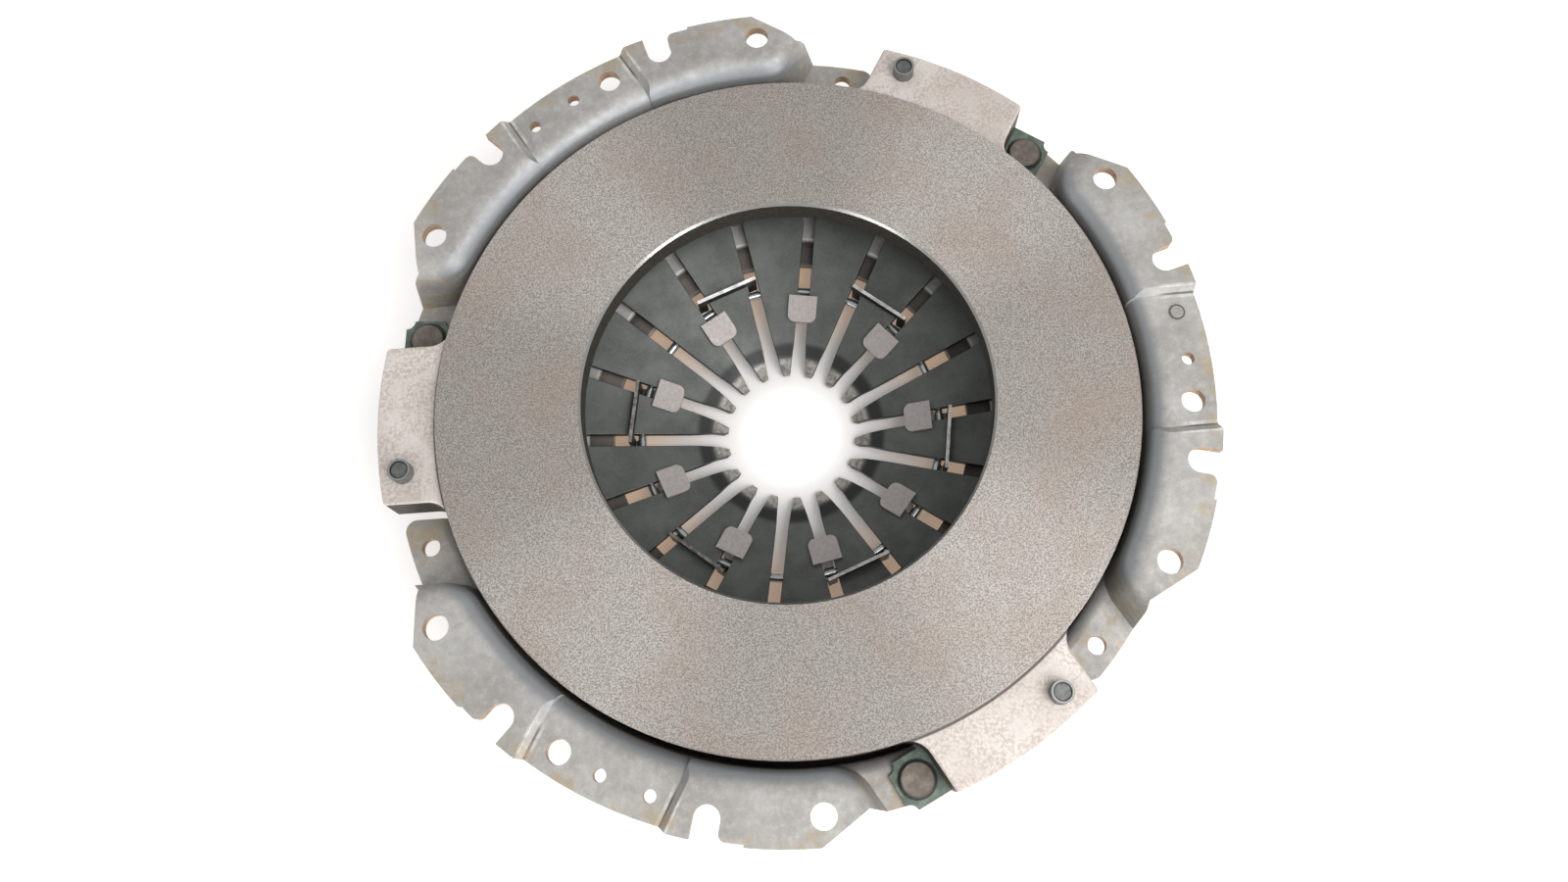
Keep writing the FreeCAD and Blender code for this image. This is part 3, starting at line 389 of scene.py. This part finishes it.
# %% Strip, rivet and plated steels
def plain_metal(name, dark, light, metallic, rough, cloud_size, tooth):
    material, tree, shader = start_material(name, Metallic=metallic)
    spot = place(tree)
    cloud = grain(tree, spot, cloud_size, 5.0, 0.65)
    fine = grain(tree, spot, 0.5, 2.0)
    base = blend(tree, ramp(tree, cloud, 0.35, 0.68), colour(dark), colour(light))
    base = blend(tree, ramp(tree, fine, 0.3, 0.7, 0.0, 0.2), base, colour(dark))
    tree.links.new(base, shader.inputs["Base Color"])
    duller = ramp(tree, cloud, 0.3, 0.7, rough + 0.06, rough - 0.06)
    tree.links.new(duller, shader.inputs["Roughness"])
    relief(tree, fine, tooth, shader)
    return material


# %% [markdown]
# Around each rivet the strap is painted a dark ring, a painted shade at the head's edge.
# The rivets themselves are marked by the same distances: the flat heads on the ears are
# painted darker toward the rim as shade, and the pins on the lugs have a dished end with a
# bright turned rim. The clips are strips on edge, painted dark on their sides as shade and
# pale on top as painted light.

# %% Straps, rivets and clips
STRAP_ANGLE = 65.0
STRAP_LINE = 129.5
STRAP_RIVET = 26.2
HEAD_RADIUS = 5.75
PIN_RADIUS = 3.75
DISH_RADIUS = 2.8
BOLT_RADIUS = 137.0
BALANCE_ANGLE = 7.1
BALANCE_RADIUS = 2.5
EAR_RIVET, LUG_PIN, BALANCE_RIVET = 0, 1, 2


def rivet_distances(tree):
    """Distances from the nearest ear rivet, lug pin and balance rivet, in that order."""
    spot = place(tree)
    thirds = sector_place(tree, spot, -STRAP_ANGLE)
    return (distance_to(tree, thirds, STRAP_LINE, -STRAP_RIVET),
            distance_to(tree, thirds, STRAP_LINE, STRAP_RIVET),
            distance_to(tree, sector_place(tree, spot, BALANCE_ANGLE), BOLT_RADIUS, 0.0))


def ring_marks(material, marks):
    """Paints rings on a finish: which rivet, radius, width, amount and colour of each."""
    tree = material.node_tree
    shader = tree.nodes["Principled BSDF"]
    distances = rivet_distances(tree)
    base = shader.inputs["Base Color"].links[0].from_socket
    for which, radius, width, amount, tint in marks:
        ring = line(tree, distances[which], radius, width)
        base = blend(tree, times(tree, ring, amount), base, colour(tint))
    tree.links.new(base, shader.inputs["Base Color"])
    return material


def strip_on_edge(name, dark, light):
    material, tree, shader = start_material(name, Metallic=0.5)
    spot = place(tree)
    cloud = grain(tree, spot, 2.0, 4.0)
    # painted light and shade: faces that look up are pale, the sides nearly black
    worn_and_lit = ramp(tree, spot["up"], 0.6, 0.85)
    top = blend(tree, ramp(tree, cloud, 0.35, 0.65), colour(dark), colour(light))
    tree.links.new(blend(tree, worn_and_lit, colour("#292623"), top), shader.inputs["Base Color"])
    shader.inputs["Roughness"].default_value = 0.4
    return material


# painted shade: a dark ring on each strap around the ear rivet's head
STRAP_STEEL = ring_marks(
    plain_metal("blued_spring_strip", "#58665d", "#7d8a7c", 0.3, 0.45, 5.0, 0.01),
    [(EAR_RIVET, HEAD_RADIUS + 0.4, 1.3, 0.85, "#1c1f1d")])
# painted shade: the ear rivet heads are darker toward their rim
HEAD_STEEL = ring_marks(
    plain_metal("cold_headed_steel", "#6f675e", "#8d8379", 0.35, 0.5, 3.0, 0.02),
    [(EAR_RIVET, HEAD_RADIUS, 1.6, 0.6, "#3b352f")])
PIN_STEEL = ring_marks(
    plain_metal("turned_dark_steel", "#636564", "#7b7d7b", 0.5, 0.38, 1.5, 0.01),
    [(LUG_PIN, PIN_RADIUS - 0.4, 0.8, 0.7, "#a8aaa8"),
     (LUG_PIN, DISH_RADIUS, 0.7, 0.8, "#2f3031")])

FINISHES = {
    "strap_steel": STRAP_STEEL,
    "rivet_steel": HEAD_STEEL,
    "pin_steel": PIN_STEEL,
    "tab_steel": plain_metal("zinc_plated_steel", "#a59e9b", "#b5aeab", 0.3, 0.45, 1.2, 0.01),
    "clip_steel": strip_on_edge("lit_strip_on_edge", "#b3b1ad", "#dddbd7"),
    "ring_steel": plain_metal("polished_steel_wire", "#b4b8b8", "#d3d7d6", 0.9, 0.2, 6.0, 0.005),
    "cover_steel": COVER_STEEL,
    "plate_iron": PLATE_IRON,
    "spring_steel": SPRING_STEEL,
}
# painted shade: the balance rivet's head is darker at its rim
BALANCE_STEEL = ring_marks(
    plain_metal("phosphated_rivet", "#9d9893", "#b1ada8", 0.35, 0.5, 2.0, 0.02),
    [(BALANCE_RIVET, BALANCE_RADIUS, 0.9, 0.8, "#3c3a38")])
# painted shade: a darker copy of the strip finish for two clips that lie in shade
SHADED_STRIP = strip_on_edge("shaded_strip_on_edge", "#5b5855", "#8a8783")
OWN_FINISHES = {
    "balance_rivet": BALANCE_STEEL,
    # the support ring is paler: partly its own grey, partly painted light where it lies in shade
    "support_ring": plain_metal("pale_pressed_ring", "#b4b2ae", "#cbc9c5", 0.2, 0.5, 6.0, 0.01),
    "ring_clip_4": SHADED_STRIP,
    "ring_clip_5": SHADED_STRIP,
}
print("finishes", len(FINISHES) + len(OWN_FINISHES))

# %% [markdown]
# Each rigid part keeps its own mesh from the frame and takes the finish of its slot. The
# record says which slot each part has, so a loop gives them all. The balance rivet, the
# support ring and two clips look different from the rest of their slot, so they have
# finishes of their own; the support ring's is paler, partly its own pale grey and partly
# painted light where it lies in shade, and the two clips' is a darker copy, a painted shade.

# %% Give each part its finish
for part in frame["record"]["subparts"]:
    mesh = NODES[part["node"]].data
    mesh.materials.clear()
    mesh.materials.append(OWN_FINISHES.get(part["node"]) or FINISHES[part["material_slot"]])

# %% [markdown]
# The diaphragm spring flexes: pushing its tips lifts its rim. Each finger is built here as
# a grid that follows the spring's section, from the tip to the pivot, with its edges on the
# walls of the slots beside it. Closed form beats a boolean here: the edge of a slot at a
# radius is one arcsine, and the round end hole one arccosine.

# %% The spring's section and its slots
SHEET = 2.7
SLOPE = 0.31
BEND_Z = -51.897
TIP_DROP = 4.4
RIM_RADIUS = 112.0
FINGERS = 18
PITCH = 360.0 / FINGERS
SLOT_HALF = 2.25
SLOT_TIP_HALF = 2.95
SLOT_FLARE_RADIUS = 36.0
HOLE_CENTRE = 85.5
HOLE_RADIUS = 4.0
HOLE_JOIN = 0.82
SLOT_END = 89.4
BEND_ROUND = 6.7


def slot_half_angle(radius):
    """Half of the angle, in degrees, that a slot takes at a radius."""
    if radius > HOLE_CENTRE - HOLE_RADIUS * HOLE_JOIN:
        reach = (radius ** 2 + HOLE_CENTRE ** 2 - HOLE_RADIUS ** 2) / (2 * radius * HOLE_CENTRE)
        return math.degrees(math.acos(min(1.0, reach)))
    share = min(1.0, max(0.0, (SLOT_FLARE_RADIUS - radius) / (SLOT_FLARE_RADIUS - TIP_RADIUS)))
    half = SLOT_HALF + share * (SLOT_TIP_HALF - SLOT_HALF)
    return math.degrees(math.asin(half / radius))


def spring_section(radii):
    """Front points and inward normals of the section at some radii, its tip bend rounded."""
    tip_slope = TIP_DROP / (TIP_BEND_RADIUS - TIP_RADIUS)
    turn = math.atan(tip_slope) - math.atan(SLOPE)
    reach = BEND_ROUND * math.tan(turn / 2)
    points = []
    for radius in radii:
        lead = (radius - TIP_BEND_RADIUS) / reach
        share = min(1.0, max(0.0, (lead + 1) / 2))
        slope = tip_slope + (SLOPE - tip_slope) * share
        if -1 < lead < 1:
            drop = reach * (tip_slope * lead + (SLOPE - tip_slope) * (lead + 1) ** 2 / 4)
        else:
            drop = (radius - TIP_BEND_RADIUS) * slope
        size = math.hypot(1, slope)
        points.append((radius, BEND_Z + drop, slope / size, 1 / size))
    return points


print("slot at tip", round(slot_half_angle(TIP_RADIUS), 2), "degrees each side")

# %% [markdown]
# The grid is made once and turned for each finger. Its front and back follow the section,
# its sides stand on the slot walls, and a bevel of a quarter millimetre takes the light
# along every edge, as the tumbled edge of the real one does. The outer rim is cut into the
# same eighteen sectors.

# %% Build a sector of the spring
def spring_sector(name, radii, angle, with_slot, across=8):
    """A solid grid between two radii, about an angle, with or without slots beside it."""
    mesh = bmesh.new()
    layers = []
    for depth in (0.0, SHEET):
        rows = []
        for radius, z, lean, rise in spring_section(radii):
            r = radius + lean * depth
            half = PITCH / 2 - (slot_half_angle(r) if with_slot else 0.0)
            row = []
            for step in range(across + 1):
                turn = angle + half * (2 * step / across - 1)
                row.append(mesh.verts.new(polar(r, turn, z - rise * depth)))
            rows.append(row)
        layers.append(rows)
    front, back = layers
    last = len(radii) - 1
    for i in range(last):
        for j in range(across):
            mesh.faces.new((front[i][j], front[i + 1][j], front[i + 1][j + 1], front[i][j + 1]))
            mesh.faces.new((back[i][j], back[i][j + 1], back[i + 1][j + 1], back[i + 1][j]))
        mesh.faces.new((front[i][0], back[i][0], back[i + 1][0], front[i + 1][0]))
        mesh.faces.new((front[i][across], front[i + 1][across],
                        back[i + 1][across], back[i][across]))
    for j in range(across):
        mesh.faces.new((front[0][j], front[0][j + 1], back[0][j + 1], back[0][j]))
        mesh.faces.new((front[last][j], back[last][j], back[last][j + 1], front[last][j + 1]))
    bmesh.ops.recalc_face_normals(mesh, faces=mesh.faces)
    data = bpy.data.meshes.new(name)
    mesh.to_mesh(data)
    mesh.free()
    data.materials.append(SPRING_STEEL)
    data.shade_smooth()
    piece = bpy.data.objects.new(name, data)
    bpy.context.scene.collection.objects.link(piece)
    return piece


def stations(first, last, count):
    """Evenly spaced values from the first to the last."""
    return [first + (last - first) * i / (count - 1) for i in range(count)]


FINGER_RADII = (stations(TIP_RADIUS, 31.0, 10) + stations(34.0, 79.0, 16)
                + stations(82.5, SLOT_END, 8))
RIM_RADII = stations(SLOT_END, RIM_RADIUS, 7)
print("stations", len(FINGER_RADII), len(RIM_RADII))

# %% [markdown]
# In use the fingers follow the ring on their backs when they are pressed, and the rim
# follows the pressure plate. All of them stand in for the one spring of the frame, which is
# hidden.

# %% Fingers and rim
EDGE_BEVEL = 0.22


def soften(piece):
    """A small bevel on sharp edges."""
    bevel = piece.modifiers.new("edge", "BEVEL")
    bevel.width = EDGE_BEVEL * MM
    bevel.segments = 2
    bevel.limit_method = "ANGLE"
    bevel.angle_limit = math.radians(40)
    bevel.harden_normals = True


for index in range(FINGERS):
    middle = (index + 0.5) * PITCH
    finger = spring_sector(f"spring_finger_{index + 1}", FINGER_RADII, middle, True)
    soften(finger)
    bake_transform(finger)
    rim = spring_sector(f"spring_rim_{index + 1}", RIM_RADII, middle, False)
    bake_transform(rim)
    for piece in (finger, rim):
        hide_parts("diaphragm_spring")
print("fingers", FINGERS)

# %% [markdown]
# Each strap is a pack of three thin leaves, riveted to an ear of the cover at one end and
# to a lug of the plate at the other. They bend as the plate moves; here each leaf is a plate
# cut into short lengths between the two rivets. A hollow quarter circle is nicked out of
# each corner, so the rows of the grid draw in along it near the ends.

# %% Strap leaves
STRAP_HALF = 8.4
STRAP_END = 7.4
STRAP_NICK = 3.0
NICK_STEPS = 6
LEAF = 0.7
LEAF_TOP = -20.9
LEAVES = 3


def strap_place(along, across, z, sector):
    """A point of a strap, from its distances along and across its middle line."""
    turn = Matrix.Rotation(math.radians(sector * 360.0 / SECTORS - STRAP_ANGLE), 3, "Z")
    return turn @ Vector((STRAP_LINE + across, -along, z)) * MM


def strap_leaf(name, sector, leaf, lengths=28, widths=6):
    """A thin plate with hollow nicks at its corners, in short lengths from end to end."""
    mesh = bmesh.new()
    top = LEAF_TOP - leaf * LEAF
    half_length = STRAP_RIVET + STRAP_END
    rows = []
    nick = [half_length - STRAP_NICK * math.sin(math.radians(90 * step / NICK_STEPS))
            for step in range(NICK_STEPS + 1)]
    inner = stations(2 - nick[-1], nick[-1] - 2, lengths)
    marks = [-along for along in nick] + inner + nick[::-1]
    for along in marks:
        short = min(STRAP_NICK, half_length - abs(along))
        half = STRAP_HALF - math.sqrt(STRAP_NICK ** 2 - short ** 2)
        rows.append([mesh.verts.new(strap_place(along, half * (2 * j / widths - 1), top, sector))
                     for j in range(widths + 1)])
    faces = []
    for first, second in zip(rows, rows[1:]):
        for j in range(widths):
            faces.append(mesh.faces.new((first[j], first[j + 1], second[j + 1], second[j])))
    made = bmesh.ops.extrude_face_region(mesh, geom=faces)
    for vert in (v for v in made["geom"] if isinstance(v, bmesh.types.BMVert)):
        vert.co.z -= LEAF * MM
    bmesh.ops.recalc_face_normals(mesh, faces=mesh.faces)
    data = bpy.data.meshes.new(name)
    mesh.to_mesh(data)
    mesh.free()
    data.materials.append(FINISHES["strap_steel"])
    piece = bpy.data.objects.new(name, data)
    bpy.context.scene.collection.objects.link(piece)
    return piece


for sector in range(SECTORS):
    for leaf in range(LEAVES):
        piece = strap_leaf(f"strap_leaf_{sector + 1}_{leaf + 1}", sector, leaf)
        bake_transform(piece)
        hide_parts(f"strap_{sector + 1}_leaf_{leaf + 1}")
print("strap leaves", SECTORS * LEAVES)

# %% [markdown]
# The object lies on a plain pale floor. Under it the floor is truly shaded, and the slots
# between the fingers show that shade; a warm tint in its colour and glow is painted shade
# there, by the distance from the axis. The camera sees the open floor as white, and the
# middle of the bore as a painted pool of light, while under the object the glow is lower, a
# painted shade. That little light of its own is for camera, mirror and glass rays only, so
# it lights nothing.

# %% Floor
FLOOR_SIZE = 6.0
FLOOR_CLEAR = 0.0002
FLOOR_GLOW = 0.42
UNDER_GLOW = 0.13
WARM_GLOW = 0.14
LIT_MIDDLE = (11.0, 27.0)
COVER_EDGE = (112.0, 134.0)
WARM_INNER = (30.0, 66.0)
WARM_OUTER = (94.0, 108.0)
WARM_END = (132.0, 152.0)
WARM_LEFT = 0.15


def pale_floor():
    material, tree, shader = start_material("pale_paper_floor", Roughness=0.9)
    spot = place(tree)
    shader.inputs["Specular IOR Level"].default_value = 0.1
    radius = spot["radius"]
    # painted light and shade: the floor's glow and warm tint change with the distance from the axis
    edge = ramp(tree, radius, COVER_EDGE[1] * MM, COVER_EDGE[0] * MM)
    under_shade = times(tree, ramp(tree, radius, LIT_MIDDLE[0] * MM, LIT_MIDDLE[1] * MM), edge)
    warm_shade = times(tree, ramp(tree, radius, WARM_INNER[0] * MM, WARM_INNER[1] * MM),
                 ramp(tree, radius, WARM_END[1] * MM, WARM_END[0] * MM))
    warm_shade = times(tree, warm_shade,
                 ramp(tree, radius, WARM_OUTER[1] * MM, WARM_OUTER[0] * MM, WARM_LEFT, 1.0))
    tree.links.new(blend(tree, warm_shade, colour("#f6f3f0"), colour("#f1d0b3")),
                   shader.inputs["Base Color"])
    rays = add(tree, "LightPath")
    seen = times(tree, rays.outputs["Is Camera Ray"], rays.outputs["Is Glossy Ray"], "MAXIMUM")
    seen = times(tree, seen, rays.outputs["Is Transmission Ray"], "MAXIMUM")
    glow = times(tree, ramp(tree, under_shade, 0.0, 1.0, FLOOR_GLOW, UNDER_GLOW),
                 times(tree, times(tree, warm_shade, edge), WARM_GLOW), "ADD")
    tree.links.new(times(tree, seen, glow), shader.inputs["Emission Strength"])
    tree.links.new(blend(tree, warm_shade, colour("#ffffff"), colour("#ffdfc4")),
                   shader.inputs["Emission Color"])
    return material


lowest = CAD_BOX[0].z
bpy.ops.mesh.primitive_plane_add(size=FLOOR_SIZE, location=(0, 0, lowest - FLOOR_CLEAR))
floor = bpy.context.object
floor.name = "floor"
floor.data.materials.append(pale_floor())
print("floor at", round(floor.location.z, 4))

# %% [markdown]
# The light is that of a product table: an even white surround, a broad soft lamp overhead
# and toward the lower right, and two small low ones at the near corners, which make the
# bright arcs along the far edge of the bore. Together they light a flat face to about the
# level at which its colour renders as written.

# %% Studio light
WORLD_LIGHT = 0.5

world = bpy.data.worlds.new("studio")
bpy.context.scene.world = world
world.use_nodes = True
surround = world.node_tree.nodes["Background"]
surround.inputs["Color"].default_value = (1, 1, 1, 1)
surround.inputs["Strength"].default_value = WORLD_LIGHT


def soft_lamp(name, watts, size, where):
    """A square lamp that faces the middle of the object."""
    data = bpy.data.lights.new(name, "AREA")
    data.energy = watts
    data.size = size
    lamp = bpy.data.objects.new(name, data)
    lamp.location = where
    lamp.rotation_euler = (-Vector(where)).to_track_quat("-Z", "Y").to_euler()
    bpy.context.scene.collection.objects.link(lamp)


soft_lamp("overhead", 9.0, 0.8, (0.45, -0.4, 0.9))
soft_lamp("low_right", 2.0, 0.35, (0.6, -0.72, 0.26))
soft_lamp("low_left", 1.5, 0.35, (-0.6, -0.72, 0.26))
print("lamps", 3)

# %% [markdown]
# The photograph was taken from almost straight above. Its view was solved from points of
# the object whose places are known, which gives the camera's place, its slight roll, the
# lens, and a small shift because the object isn't in the picture's centre.

# %% Camera
ELEVATION = 72.743
AZIMUTH = -3.266
ROLL = -1.907
DISTANCE = 445.07
AIM = Vector((9.627, -1.066, -3.4)) * MM
LENS = 30.108
SHIFT = (-0.02044, -0.02938)

camera = bpy.data.objects.new("camera", bpy.data.cameras.new("camera"))
bpy.context.scene.collection.objects.link(camera)
turn = Matrix.Rotation(math.radians(AZIMUTH), 3, "Z")
turn = turn @ Matrix.Rotation(math.radians(90 - ELEVATION), 3, "X")
turn = turn @ Matrix.Rotation(math.radians(ROLL), 3, "Z")
camera.matrix_world = turn.to_4x4()
camera.location = AIM + turn @ Vector((0, 0, DISTANCE * MM))
camera.data.sensor_width = 36.0
camera.data.lens = LENS
camera.data.shift_x, camera.data.shift_y = SHIFT
camera.data.clip_start = 0.01
bpy.context.scene.camera = camera
bpy.context.scene.view_settings.view_transform = "Standard"
print("camera at", [round(v, 4) for v in camera.location])
